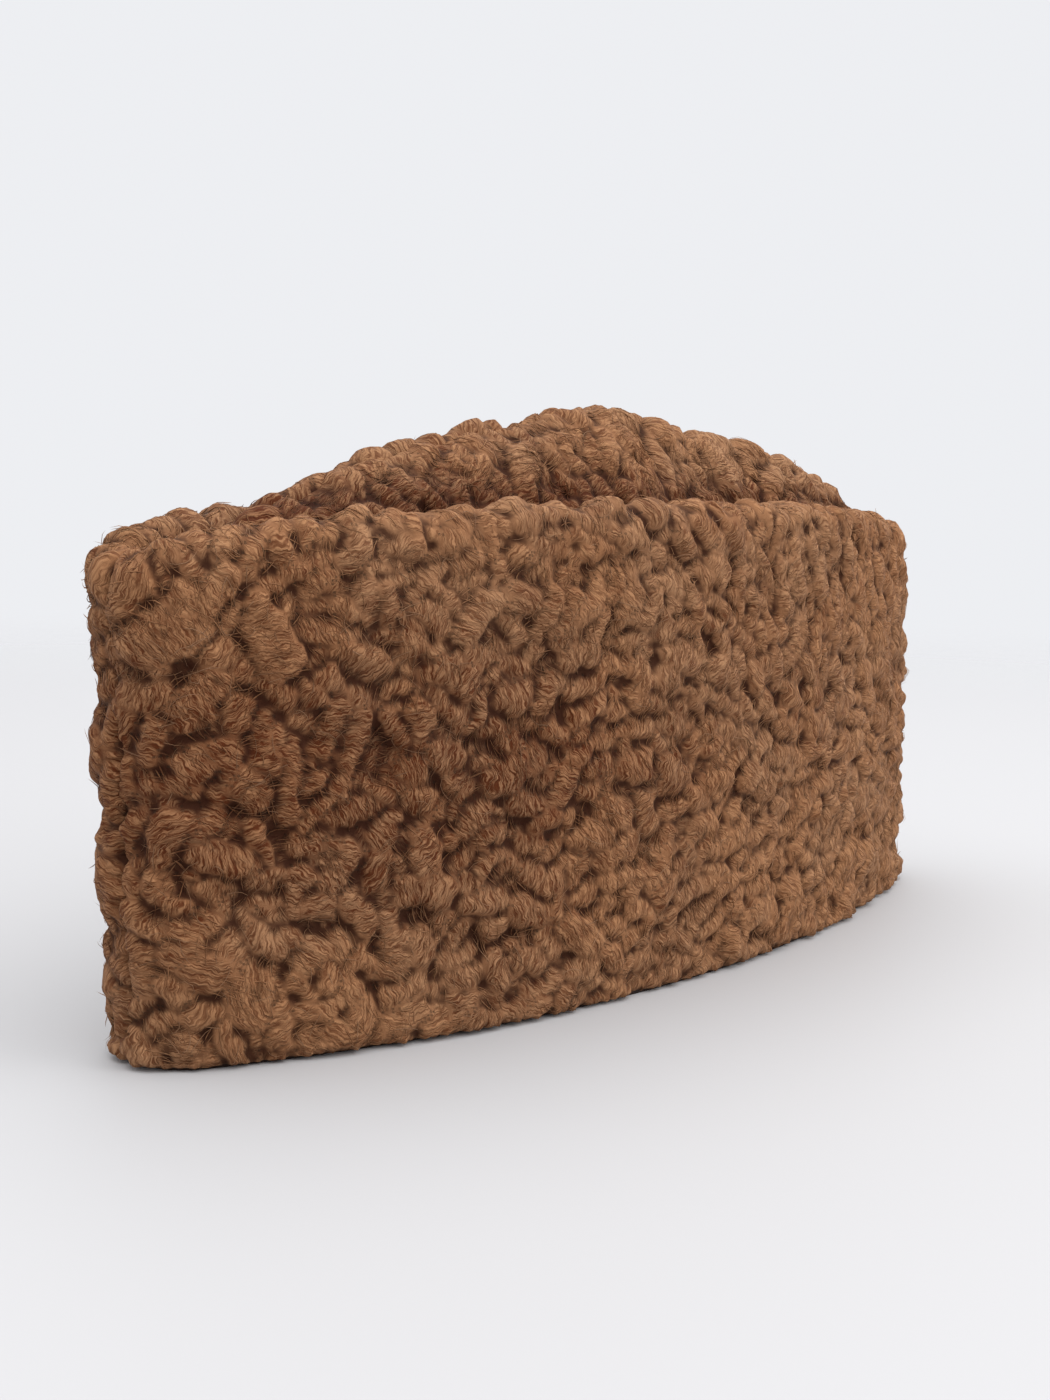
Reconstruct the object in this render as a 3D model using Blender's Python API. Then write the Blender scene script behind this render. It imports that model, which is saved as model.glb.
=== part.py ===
"""Karakul cap: two side walls of curled lamb pelt round a peaked crown of two pelt panels.

Metres, +Z up. X runs from the back seam to the front seam, Y from the right side to the left.
The cap stands on the lower edge of its walls, as it does on a table, open enough to stand.
Each pelt is one solid: smooth hide inside, with the fleece's curls raised on it in rows of locks.
"""

import math
import random

import bmesh
import bpy
from mathutils import Vector

# The cap: length and width over the curls, heights to the top lines of the rim and the ridge
LENGTH = 0.284  # at any one height
WIDTH = 0.082
WALL_HEIGHT_AT_SEAMS = 0.108
WALL_HEIGHT_AT_MIDDLE = 0.1145
SEAM_CORNER_DROP = 0.004  # how far the rim rounds off beside a seam
SEAM_CORNER_TIGHTNESS = 20  # a higher power keeps the rounding closer to the seam
END_LEAN = 0.0056  # how far a seam's top lies behind its foot
RIDGE_HEIGHT = 0.1335

# The pelt
PELT = 0.0085  # hide and matted fleece, below the curls
CURL_RISE = 0.0025  # curls standing out of the matted fleece
SEAM_GAP = 0.0003  # between pelts that are sewn edge to edge
SEAT_GAP = 0.0004  # between the crown's lower edge and the wall that carries it

# The plan: a long arc on each side, and a small arc round each seam
SEAM_RADIUS = 0.013
HALF_LENGTH = LENGTH / 2 - CURL_RISE
HALF_WIDTH = WIDTH / 2 - CURL_RISE
ARC_DROP = ((HALF_LENGTH - SEAM_RADIUS) ** 2 - (HALF_WIDTH - SEAM_RADIUS) ** 2) / (
    2 * (HALF_WIDTH - SEAM_RADIUS)
)
SIDE_RADIUS = HALF_WIDTH + ARC_DROP
JOIN_ANGLE = math.acos((HALF_LENGTH - SEAM_RADIUS) / (SIDE_RADIUS - SEAM_RADIUS))

# The crown: its ridge line arches along the cap, and its sides fall steeply to the furrows
RIDGE_END_HEIGHT = 0.0965
RIDGE_FRONT_RISE = 0.0042  # how much higher the ridge runs at its front end, and lower at its back end
RIDGE_HALF_LENGTH = 0.122
RIDGE_FULLNESS = 0.6  # 0.5 gives half an ellipse, 1 a parabola
RIDGE_ROUNDING = 0.009
CROWN_SLOPE = 1.75
CROWN_DEPTH = 0.013  # pelt thickness measured straight down through the slope
CROWN_END_HALF_WIDTH = 0.0022
FURROW_MARGIN = 0.006  # bare wall kept clear above the crown's lower edge

# Locks of fleece: long rolls that lie along the cap, with creases between
SEAM_CELLS = 3
SIDE_CELLS = 20
WALL_ROWS = 13
RIM_ROWS = 2
FURROW_ROWS = 1
HIDE_ROWS = 3
CROWN_CELLS = 23
CROWN_ROWS = 3
CROWN_END_CELLS = 5  # at each end, where the cells are too short to stray
LOCK_BORDER = 0.0024  # crease to the flat top of a lock
LOCK_BORDER_SHARE = 0.28  # and at most this share of a small lock's side
LOWEST_LOCK = 0.75  # of the full rise
LOCK_LEAN = 0.0022  # one row of creases leans forward by this and the next one back
LOCK_WANDER_ALONG = 0.0026  # how far a crease strays from its row's pattern
LOCK_WANDER_UP = 0.0015
LOCK_ROOM = 0.0042  # a lock of the crown that lay closer to the wall than this would touch it
SMALLEST_LOCK = 2.2e-5  # square metres: the cells inside the seams are too narrow for a lock

FLEECE, HIDE = 0, 1


def plan_point(distance, inset):
    """Point of the left side's plan, that far along it from the front seam and that far inside it."""
    seam_arc = SEAM_RADIUS * JOIN_ANGLE
    side_arc = SIDE_RADIUS * (math.pi - 2 * JOIN_ANGLE)
    if distance <= seam_arc:
        centre, radius, angle = (HALF_LENGTH - SEAM_RADIUS, 0.0), SEAM_RADIUS, distance / SEAM_RADIUS
    elif distance <= seam_arc + side_arc:
        centre, radius = (0.0, -ARC_DROP), SIDE_RADIUS
        angle = JOIN_ANGLE + (distance - seam_arc) / SIDE_RADIUS
    else:
        centre, radius = (SEAM_RADIUS - HALF_LENGTH, 0.0), SEAM_RADIUS
        angle = math.pi - (2 * seam_arc + side_arc - distance) / SEAM_RADIUS
    return (
        centre[0] + (radius - inset) * math.cos(angle),
        centre[1] + (radius - inset) * math.sin(angle),
    )


def wall_distances():
    """Distances along the plan of the wall's sections, closer together round the seams."""
    seam_arc = SEAM_RADIUS * JOIN_ANGLE
    side_arc = SIDE_RADIUS * (math.pi - 2 * JOIN_ANGLE)
    front = [seam_arc * i / SEAM_CELLS for i in range(SEAM_CELLS)]
    side = [seam_arc + side_arc * i / SIDE_CELLS for i in range(SIDE_CELLS)]
    back = [seam_arc + side_arc + seam_arc * i / SEAM_CELLS for i in range(SEAM_CELLS + 1)]
    return front + side + back


def wall_height(x):
    """Height of the wall's rim, which arches a little from seam to seam and rounds off beside them."""
    reach = abs(x) / HALF_LENGTH
    arch = (WALL_HEIGHT_AT_MIDDLE - WALL_HEIGHT_AT_SEAMS) * (1 - reach**2)
    return WALL_HEIGHT_AT_SEAMS + arch - SEAM_CORNER_DROP * reach**SEAM_CORNER_TIGHTNESS


def leant_back(x, height):
    """The x of a point once the cap's ends lean back, turning about the middle of their height."""
    return x - END_LEAN * (height / WALL_HEIGHT_AT_SEAMS - 0.5) * (x / HALF_LENGTH) ** 2


def inner_half_width(x):
    """Half the width between the two walls' inner faces, at that x."""
    reach = abs(x)
    join_x = HALF_LENGTH - SEAM_RADIUS + (SEAM_RADIUS - PELT) * math.cos(JOIN_ANGLE)
    if reach <= join_x:
        return math.sqrt((SIDE_RADIUS - PELT) ** 2 - reach**2) - ARC_DROP
    across = reach - (HALF_LENGTH - SEAM_RADIUS)
    return math.sqrt(max((SEAM_RADIUS - PELT) ** 2 - across**2, 0.0))


def crown_end_x():
    """The x where the crown has narrowed to its end, just short of the seam's inner face."""
    radius = SEAM_RADIUS - PELT
    return HALF_LENGTH - SEAM_RADIUS + math.sqrt(radius**2 - (CROWN_END_HALF_WIDTH + SEAT_GAP) ** 2)


def ridge_height(x):
    """Height of the crown's ridge: an arch standing on its end height, and tilted up to the front.
    The tilt dies away at the ends, where the crown is tucked between the walls."""
    share = max(1 - (x / RIDGE_HALF_LENGTH) ** 2, 0.0) ** RIDGE_FULLNESS
    tilt = RIDGE_FRONT_RISE * math.sin(math.pi * x / (2 * RIDGE_HALF_LENGTH)) * share**0.5
    return RIDGE_END_HEIGHT + (RIDGE_HEIGHT - RIDGE_END_HEIGHT) * share + tilt


def crown_surface(x, y):
    """Height of the crown's upper face: a hyperbola across the cap, round at the ridge and steep below."""
    fall = math.hypot(CROWN_SLOPE * y, RIDGE_ROUNDING) - RIDGE_ROUNDING
    return ridge_height(x) - fall


def furrow_height(x):
    """Height where the crown's lower edge meets the wall."""
    return crown_surface(x, inner_half_width(x) - SEAT_GAP)


def wall_section(x):
    """The wall's section at x, as (inset from the outer face, height), from its lower outer corner
    up the outside, over the rim, down the inside and back along the lower edge."""
    rim_radius = PELT / 2
    straight = wall_height(x) - rim_radius
    furrow = furrow_height(x) + FURROW_MARGIN
    points = [(0.0, straight * i / WALL_ROWS) for i in range(WALL_ROWS + 1)]
    for i in range(1, RIM_ROWS):
        turn = math.pi * i / RIM_ROWS
        points.append((rim_radius * (1 - math.cos(turn)), straight + rim_radius * math.sin(turn)))
    points += [(PELT, straight + (furrow - straight) * i / FURROW_ROWS) for i in range(FURROW_ROWS + 1)]
    points += [(PELT, furrow * (1 - i / HIDE_ROWS)) for i in range(1, HIDE_ROWS + 1)]
    return points


def crown_section(x):
    """The left panel's section at x, as (y, height), from the ridge down to the wall and back inside."""
    edge = max(inner_half_width(x) - SEAT_GAP, CROWN_END_HALF_WIDTH)
    across = [SEAM_GAP / 2 + (edge - SEAM_GAP / 2) * i / CROWN_ROWS for i in range(CROWN_ROWS + 1)]
    upper = [(y, crown_surface(x, y)) for y in across]
    lower = [(y, crown_surface(x, y) - CROWN_DEPTH) for y in reversed(across)]
    return upper + lower


def closed_loft(columns, rows, place, fleece_rows):
    """A closed tube of columns by rows cells, each corner at place(column, row), its ends capped.
    The first fleece_rows cells of each ring are fleece and the rest are hide."""
    mesh = bmesh.new()
    bmesh.ops.create_grid(mesh, x_segments=columns, y_segments=rows, size=1.0)
    for face in mesh.faces:
        middle = face.calc_center_median()
        row = int((middle.y + 1) / 2 * rows)
        face.material_index = FLEECE if row < fleece_rows else HIDE
    for vert in mesh.verts:
        column = round((vert.co.x + 1) / 2 * columns)
        row = round((vert.co.y + 1) / 2 * rows) % rows
        vert.co = place(column, row)
    bmesh.ops.remove_doubles(mesh, verts=mesh.verts, dist=1e-6)
    open_edges = [edge for edge in mesh.edges if edge.is_boundary]
    caps = bmesh.ops.holes_fill(mesh, edges=open_edges, sides=0)["faces"]
    for face in caps:
        face.material_index = HIDE
    bmesh.ops.recalc_face_normals(mesh, faces=mesh.faces)
    return mesh


def raise_locks(mesh, dice, kept_flat):
    """Raises each fleece cell into a lock: a smaller face standing off the cell, with creases between."""
    cells = [face for face in mesh.faces if face.material_index == FLEECE and not kept_flat(face)]
    for cell in cells:
        side = math.sqrt(cell.calc_area())
        bmesh.ops.inset_individual(
            mesh,
            faces=[cell],
            thickness=min(LOCK_BORDER, LOCK_BORDER_SHARE * side),
            depth=CURL_RISE * dice.uniform(LOWEST_LOCK, 1.0),
            use_even_offset=True,
        )


def make_material(name, colour, roughness):
    material = bpy.data.materials.new(name)
    material.use_nodes = True
    shader = material.node_tree.nodes["Principled BSDF"]
    shader.inputs["Base Color"].default_value = (*colour, 1.0)
    shader.inputs["Roughness"].default_value = roughness
    shader.inputs["Metallic"].default_value = 0.0
    return material


def make_object(name, mesh, materials, parent, collection):
    data = bpy.data.meshes.new(name)
    mesh.to_mesh(data)
    mesh.free()
    for material in materials:
        data.materials.append(material)
    obj = bpy.data.objects.new(name, data)
    obj.parent = parent
    collection.objects.link(obj)
    return obj


def side_wall(side, seed):
    """One side wall: a pelt lofted round its side of the plan from the front seam to the back seam.
    side is 1 on the left and -1 on the right."""
    dice = random.Random(seed)
    distances = wall_distances()
    columns = len(distances) - 1
    rows = len(wall_section(0.0))
    fleece_rows = WALL_ROWS + RIM_ROWS + FURROW_ROWS
    wander = {
        (column, row): (
            LOCK_LEAN * (-1) ** row + dice.uniform(-1, 1) * LOCK_WANDER_ALONG,
            dice.uniform(-1, 1) * LOCK_WANDER_UP,
        )
        for column in range(1, columns)
        for row in range(1, WALL_ROWS)
    }

    def place(column, row):
        along, up = wander.get((column, row), (0.0, 0.0))
        near_seam = min(column, columns - column) <= SEAM_CELLS
        distance = distances[column] + (0.0 if near_seam else along)
        outer_x, _ = plan_point(distance, 0.0)
        inset, height = wall_section(outer_x)[row]
        x, y = plan_point(distance, inset)
        return Vector((leant_back(x, height + up), side * (y + SEAM_GAP / 2), height + up))

    mesh = closed_loft(columns, rows, place, fleece_rows)
    raise_locks(mesh, dice, kept_flat=lambda face: face.calc_area() < SMALLEST_LOCK)
    return mesh


def crown_panel(side, seed):
    """One crown panel: a pelt lofted along the cap from the ridge seam down to the wall's inner face."""
    dice = random.Random(seed)
    end = crown_end_x()
    rows = len(crown_section(0.0))

    wander = {
        (column, row): LOCK_LEAN * (-1) ** row + dice.uniform(-1, 1) * LOCK_WANDER_ALONG
        for column in range(CROWN_END_CELLS, CROWN_CELLS - CROWN_END_CELLS + 1)
        for row in range(1, CROWN_ROWS)
    }

    def place(column, row):
        x = -end * math.cos(math.pi * column / CROWN_CELLS) + wander.get((column, row), 0.0)
        y, height = crown_section(x)[row]
        return Vector((leant_back(x, height), side * y, height))

    mesh = closed_loft(CROWN_CELLS, rows, place, CROWN_ROWS)

    def beside_wall(face):
        middle = face.calc_center_median()
        half_width = inner_half_width(middle.x)
        room = half_width - abs(middle.y)
        return room < max(half_width / CROWN_ROWS, LOCK_ROOM)

    raise_locks(mesh, dice, kept_flat=beside_wall)
    return mesh


def build():
    for old in list(bpy.data.objects):
        bpy.data.objects.remove(old)
    collection = bpy.data.collections.new("karakul_cap")
    bpy.context.scene.collection.children.link(collection)
    cap = bpy.data.objects.new("cap", None)
    collection.objects.link(cap)
    hide = make_material("suede_side_of_the_pelt", (0.32, 0.22, 0.14), 0.9)
    for name, side in (("left", 1), ("right", -1)):
        wall_fleece = make_material(f"wall_fleece_{name}", (0.19, 0.095, 0.045), 0.8)
        crown_fleece = make_material(f"crown_fleece_{name}", (0.17, 0.085, 0.042), 0.8)
        wall = side_wall(side, seed=11 + side)
        make_object(f"side_wall_{name}", wall, [wall_fleece, hide], cap, collection)
        crown = crown_panel(side, seed=21 + side)
        make_object(f"crown_{name}", crown, [crown_fleece, hide], cap, collection)


build()
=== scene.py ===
"""Karakul cap of brown curled lamb, standing by itself on a pale studio floor.

The cap is built up in the order it is sewn: two wall pelts, then two crown pelts. Each pelt is
hide with matted underfur, a fleece of curls that close over each other, and the hairs over them.
Metres, +Z up, +X towards the front seam, +Y towards the left wall.
"""

import math
from functools import partial

import bpy
import numpy as np
from mathutils import Matrix, Vector


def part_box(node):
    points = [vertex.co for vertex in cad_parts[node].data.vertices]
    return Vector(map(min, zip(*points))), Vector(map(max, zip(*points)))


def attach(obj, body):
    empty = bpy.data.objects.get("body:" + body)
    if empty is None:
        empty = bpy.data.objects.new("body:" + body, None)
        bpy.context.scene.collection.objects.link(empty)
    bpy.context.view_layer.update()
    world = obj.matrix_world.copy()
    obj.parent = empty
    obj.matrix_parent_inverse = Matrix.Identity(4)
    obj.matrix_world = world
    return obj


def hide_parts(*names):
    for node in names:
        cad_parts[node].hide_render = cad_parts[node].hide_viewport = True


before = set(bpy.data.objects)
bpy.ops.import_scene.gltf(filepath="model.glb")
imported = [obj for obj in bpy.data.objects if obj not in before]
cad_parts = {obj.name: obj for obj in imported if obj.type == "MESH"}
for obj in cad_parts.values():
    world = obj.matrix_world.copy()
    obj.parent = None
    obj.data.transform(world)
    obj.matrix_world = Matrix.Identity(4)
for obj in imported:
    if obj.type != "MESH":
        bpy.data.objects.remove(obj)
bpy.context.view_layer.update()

# Studio. A pale table that fades into an even pale surround, a broad softbox overhead and a
# weaker one at the camera's right. The camera stands at the photograph's angle to the cap.

CAMERA_AZIMUTH = math.radians(-49.98)
CAMERA_DISTANCE = 0.4644  # on plan, from the cap's middle
CAMERA_HEIGHT = 0.1187
CAMERA_YAW = math.radians(1.752)  # from looking straight at the cap's middle
CAMERA_PITCH = math.radians(6.869)  # downwards
CAMERA_ROLL = math.radians(1.12)
FOCAL_LENGTH_PIXELS = 1875.6
FRAME_LONG_SIDE_PIXELS = 1400
SENSOR_LONG_SIDE = 36.0

SURROUND_COLOUR = (0.850, 0.860, 0.888)
TABLE_COLOUR = (0.498, 0.497, 0.507)
TABLE_RADIUS = 1.6
TABLE_FADE_START = 0.42
TABLE_FADE_END = 1.15
LIGHT_TARGET = Vector((0, 0, 0.05))


def studio_camera():
    """Camera axes from its heading on plan, its pitch below the horizon and its roll about the view."""
    heading = math.atan2(math.cos(CAMERA_AZIMUTH), -math.sin(CAMERA_AZIMUTH)) + CAMERA_YAW
    level = Vector((math.cos(heading), math.sin(heading), 0.0))
    forward = level * math.cos(CAMERA_PITCH) - Vector((0, 0, 1)) * math.sin(CAMERA_PITCH)
    right = forward.cross(Vector((0, 0, 1))).normalized()
    up = right.cross(forward)
    rolled_right = right * math.cos(CAMERA_ROLL) + up * math.sin(CAMERA_ROLL)
    rolled_up = up * math.cos(CAMERA_ROLL) - right * math.sin(CAMERA_ROLL)
    place = Vector((
        CAMERA_DISTANCE * math.sin(CAMERA_AZIMUTH),
        -CAMERA_DISTANCE * math.cos(CAMERA_AZIMUTH),
        CAMERA_HEIGHT,
    ))
    camera = bpy.data.objects.new("camera", bpy.data.cameras.new("camera"))
    camera.data.sensor_width = SENSOR_LONG_SIDE
    camera.data.lens = FOCAL_LENGTH_PIXELS / FRAME_LONG_SIDE_PIXELS * SENSOR_LONG_SIDE
    camera.data.clip_start = 0.01
    turn = Matrix((rolled_right, rolled_up, -forward)).transposed().to_4x4()
    camera.matrix_world = Matrix.Translation(place) @ turn
    bpy.context.scene.collection.objects.link(camera)
    bpy.context.scene.camera = camera


def softbox(name, place, side, watts, colour):
    """A square area light at that place, turned to face the cap."""
    light = bpy.data.lights.new(name, "AREA")
    light.size = side
    light.energy = watts
    light.color = colour
    lamp = bpy.data.objects.new(name, light)
    lamp.location = place
    lamp.rotation_euler = (LIGHT_TARGET - Vector(place)).to_track_quat("-Z", "Y").to_euler()
    bpy.context.scene.collection.objects.link(lamp)


class Wire:
    """A shader socket that can be written in sums: + - * and their reflected forms add Math nodes."""

    def __init__(self, tree, socket):
        self.tree = tree
        self.socket = socket

    def node(self, kind, settings=None, inputs=None, output=0):
        """Adds a node of that type, with its settings and then its sockets' values or wires."""
        made = self.tree.nodes.new(kind)
        for key, value in (settings or {}).items():
            setattr(made, key, value)
        for key, value in (inputs or {}).items():
            if isinstance(value, Wire):
                self.tree.links.new(value.socket, made.inputs[key])
            else:
                made.inputs[key].default_value = value
        return Wire(self.tree, made.outputs[output])

    def math(self, operation, first, second=0.0):
        return self.node("ShaderNodeMath", {"operation": operation}, {0: first, 1: second})

    def __add__(self, other):
        return self.math("ADD", self, other)

    def __radd__(self, other):
        return self.math("ADD", other, self)

    def __sub__(self, other):
        return self.math("SUBTRACT", self, other)

    def __rsub__(self, other):
        return self.math("SUBTRACT", other, self)

    def __mul__(self, other):
        return self.math("MULTIPLY", self, other)

    def __rmul__(self, other):
        return self.math("MULTIPLY", other, self)

    def clamped(self):
        return self.node("ShaderNodeClamp", inputs={0: self})

    def steps(self, low, high):
        """0 below low, 1 above high, and a smooth change between."""
        ranged = {"interpolation_type": "SMOOTHSTEP"}
        return self.node("ShaderNodeMapRange", ranged, {0: self, 1: low, 2: high})

    def blend(self, first, second):
        """A colour mixed from first to second by this share."""
        return self.node(
            "ShaderNodeMix", {"data_type": "RGBA"}, {0: self, 6: first, 7: second}, output=2
        )

    def parts(self):
        """The three parts of a vector."""
        split = self.node("ShaderNodeSeparateXYZ", inputs={0: self})
        return [Wire(self.tree, socket) for socket in split.socket.node.outputs]

    def into(self, shader, key):
        self.tree.links.new(self.socket, shader.inputs[key])


def new_material(name, **constants):
    """A material with one Principled shader, whose unchanging sockets take the constants."""
    material = bpy.data.materials.new(name)
    material.use_nodes = True
    shader = material.node_tree.nodes["Principled BSDF"]
    for key, value in constants.items():
        shader.inputs[key.replace("_", " ")].default_value = value
    return material, shader, Wire(material.node_tree, None)


def table_top():
    """A disc in polar coordinates, radius by angle, whose finish thins out towards its edge."""
    rings, spokes = 24, 96
    radius, angle = np.meshgrid(
        np.linspace(0.0, 1.0, rings) ** 2 * TABLE_RADIUS + 0.001,
        np.linspace(0, 2 * np.pi, spokes, endpoint=False),
        indexing="ij",
    )
    points = np.stack([radius * np.cos(angle), radius * np.sin(angle), 0 * angle], -1)
    ring, spoke = np.meshgrid(np.arange(rings - 1), np.arange(spokes), indexing="ij")
    after = (spoke + 1) % spokes
    near, far = ring * spokes, (ring + 1) * spokes
    faces = np.stack([near + spoke, far + spoke, far + after, near + after], -1)
    mesh = bpy.data.meshes.new("table_top")
    centre = [list(range(spokes))]
    mesh.from_pydata(points.reshape(-1, 3).tolist(), [], faces.reshape(-1, 4).tolist() + centre)
    table = bpy.data.objects.new("table_top", mesh)
    bpy.context.scene.collection.objects.link(table)
    material, shader, wire = new_material("pale_table", Base_Color=(*TABLE_COLOUR, 1), Roughness=0.6)
    spot = wire.node("ShaderNodeTexCoord", output="Object")
    reach = wire.node("ShaderNodeVectorMath", {"operation": "LENGTH"}, {0: spot}, output="Value")
    solid = 1.0 - reach.steps(TABLE_FADE_START, TABLE_FADE_END)
    solid.into(shader, "Alpha")
    mesh.materials.append(material)


bpy.context.scene.view_settings.view_transform = "Standard"
world = bpy.data.worlds.new("surround")
bpy.context.scene.world = world
world.use_nodes = True
world.node_tree.nodes["Background"].inputs["Color"].default_value = (*SURROUND_COLOUR, 1)
world.node_tree.nodes["Background"].inputs["Strength"].default_value = 1.0
studio_camera()
softbox("overhead_softbox", (0.05, -0.25, 1.8), 3.2, 52.0, (1.0, 0.99, 0.975))
softbox("side_softbox", (0.5, -1.2, 0.7), 0.7, 5.0, (1.0, 0.985, 0.96))
table_top()

# Side walls, hide. The two tall walls are lamb pelts with the suede side in, sewn to each other
# at the front and back seams. Under the curls the fleece is a matted bed on the hide, dark in its
# own colour and painted darker as shade.

PELT = 0.0085  # hide and matted fleece
CURL_RISE = 0.0025  # how far the curls stand out of it
SEAM_GAP = 0.0003
SEAT_GAP = 0.0004
SEAM_RADIUS = 0.013
END_LEAN = 0.0056
RIM_ARCH = 0.0065  # how much higher the rim is at the middle than at the seams
SEAM_CORNER_DROP = 0.004
SEAM_CORNER_TIGHTNESS = 20
BED_INSET = 0.0006  # the matted bed lies this far inside the pelt's own outline
RIM_SINK = 0.0033  # and this far below the rim's top line
FURROW_DEPTH = 0.018  # how far the fleece goes down inside the rim

wall_low, wall_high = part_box("side_wall_left")
half_length = (wall_high.x - wall_low.x) / 2 - CURL_RISE - END_LEAN / 2
half_width = wall_high.y - CURL_RISE
rim_middle = wall_high.z
rim_at_seams = rim_middle - RIM_ARCH
arc_drop = ((half_length - SEAM_RADIUS) ** 2 - (half_width - SEAM_RADIUS) ** 2) / (
    2 * (half_width - SEAM_RADIUS)
)
side_radius = half_width + arc_drop
join_angle = math.acos((half_length - SEAM_RADIUS) / (side_radius - SEAM_RADIUS))
seam_arc = SEAM_RADIUS * join_angle
side_arc = side_radius * (math.pi - 2 * join_angle)
wall_length = 2 * seam_arc + side_arc
rim_radius = (PELT - BED_INSET) / 2


def rim_height(x):
    """An arch from seam to seam, rounded off beside the seams by a high power of the reach."""
    reach = np.clip(np.abs(x) / half_length, 0, 1)
    return rim_at_seams + RIM_ARCH * (1 - reach**2) - SEAM_CORNER_DROP * reach**SEAM_CORNER_TIGHTNESS


def leant_back(x, height):
    """The cap's ends lean back, turning about the middle of their height, as the square of the reach."""
    return x - END_LEAN * (height / rim_at_seams - 0.5) * (x / half_length) ** 2


def wall_bed(along, up, side):
    """The matted bed of one wall, as point, outward direction, and directions along and up.
    On plan it follows a small arc round each seam and one long arc between. In section it goes
    straight up the outside, over the rim in a half circle and down the inside."""
    front = along < seam_arc
    back = along > seam_arc + side_arc
    angle = np.where(
        front,
        along / SEAM_RADIUS,
        np.where(
            back,
            math.pi - (wall_length - along) / SEAM_RADIUS,
            join_angle + (along - seam_arc) / side_radius,
        ),
    )
    at_seam = front | back
    radius = np.where(at_seam, SEAM_RADIUS, side_radius)
    centre_x = np.where(front, 1.0, np.where(back, -1.0, 0.0)) * (half_length - SEAM_RADIUS)
    centre_y = np.where(at_seam, 0.0, -arc_drop)
    straight = rim_height(centre_x + radius * np.cos(angle)) - RIM_SINK - rim_radius
    turn = np.clip((up - straight) / rim_radius, 0, math.pi)
    inset = BED_INSET + rim_radius * (1 - np.cos(turn))
    below = np.maximum(up - straight - math.pi * rim_radius, 0)
    height = np.minimum(up, straight) + rim_radius * np.sin(turn) - below
    x = leant_back(centre_x + (radius - inset) * np.cos(angle), height)
    y = side * (centre_y + (radius - inset) * np.sin(angle) + SEAM_GAP / 2)
    level = np.zeros_like(x)
    outward = np.stack([np.cos(angle), side * np.sin(angle), level], -1)
    upward = np.array([0.0, 0.0, 1.0])
    sine, cosine = np.sin(turn)[..., None], np.cos(turn)[..., None]
    return (
        np.stack([x, y, height], -1),
        outward * cosine + upward * sine,
        np.stack([-np.sin(angle), side * np.cos(angle), level], -1),
        upward * cosine - outward * sine,
    )


def new_piece(name, points, faces, attributes, finish):
    """A smooth mesh in that finish. faces is a list of arrays of triangles or quads, and each
    attribute gives a vector for every point."""
    points = points.reshape(-1, 3)
    corners = np.concatenate([part.reshape(-1) for part in faces])
    sizes = np.concatenate([np.full(len(part), part.shape[1]) for part in faces])
    mesh = bpy.data.meshes.new(name)
    mesh.vertices.add(len(points))
    mesh.vertices.foreach_set("co", points.reshape(-1).astype(np.float32))
    mesh.loops.add(len(corners))
    mesh.loops.foreach_set("vertex_index", corners.astype(np.int32))
    mesh.polygons.add(len(sizes))
    mesh.polygons.foreach_set("loop_start", (np.cumsum(sizes) - sizes).astype(np.int32))
    mesh.update(calc_edges=True)
    mesh.polygons.foreach_set("use_smooth", np.ones(len(sizes), bool))
    for key, values in attributes.items():
        layer = mesh.attributes.new(key, "FLOAT_VECTOR", "POINT")
        layer.data.foreach_set("vector", values.reshape(-1).astype(np.float32))
    mesh.validate()
    mesh.materials.append(finish)
    piece = bpy.data.objects.new(name, mesh)
    bpy.context.scene.collection.objects.link(piece)
    return piece


def with_ends(rings):
    """The rings' rows in one list, and then the first and the last ring's middle."""
    return np.concatenate([rings.reshape(-1, 3), rings[[0, -1]].mean(axis=1)])


def closed_tube(name, rings, flipped, attributes, finish):
    """A tube through rings of points, closed at each end by a fan of triangles to the end ring's
    middle. The attributes are given for the rings' points."""
    count, corners = rings.shape[:2]
    ring, corner = np.meshgrid(np.arange(count - 1), np.arange(corners), indexing="ij")
    after = (corner + 1) % corners
    near, far = ring * corners, (ring + 1) * corners
    quads = np.stack([near + corner, near + after, far + after, far + corner], -1).reshape(-1, 4)
    loop = np.arange(corners)
    following = (loop + 1) % corners
    last = (count - 1) * corners
    middle = np.full(corners, count * corners)
    fans = np.concatenate([
        np.stack([following, loop, middle], -1),
        np.stack([last + loop, last + following, middle + 1], -1),
    ])
    if flipped:
        quads, fans = quads[:, ::-1], fans[:, ::-1]
    full = {key: with_ends(values) for key, values in attributes.items()}
    return new_piece(name, with_ends(rings), [quads, fans], full, finish)


def attribute(wire, name, output="Vector"):
    return wire.node("ShaderNodeAttribute", {"attribute_name": name}, output=output)


def noise(place, scale, detail, roughness=0.5, output=0):
    """Soft noise over the place that a socket gives."""
    inputs = {"Vector": place, "Scale": scale, "Detail": detail, "Roughness": roughness}
    return place.node("ShaderNodeTexNoise", inputs=inputs, output=output)


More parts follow.
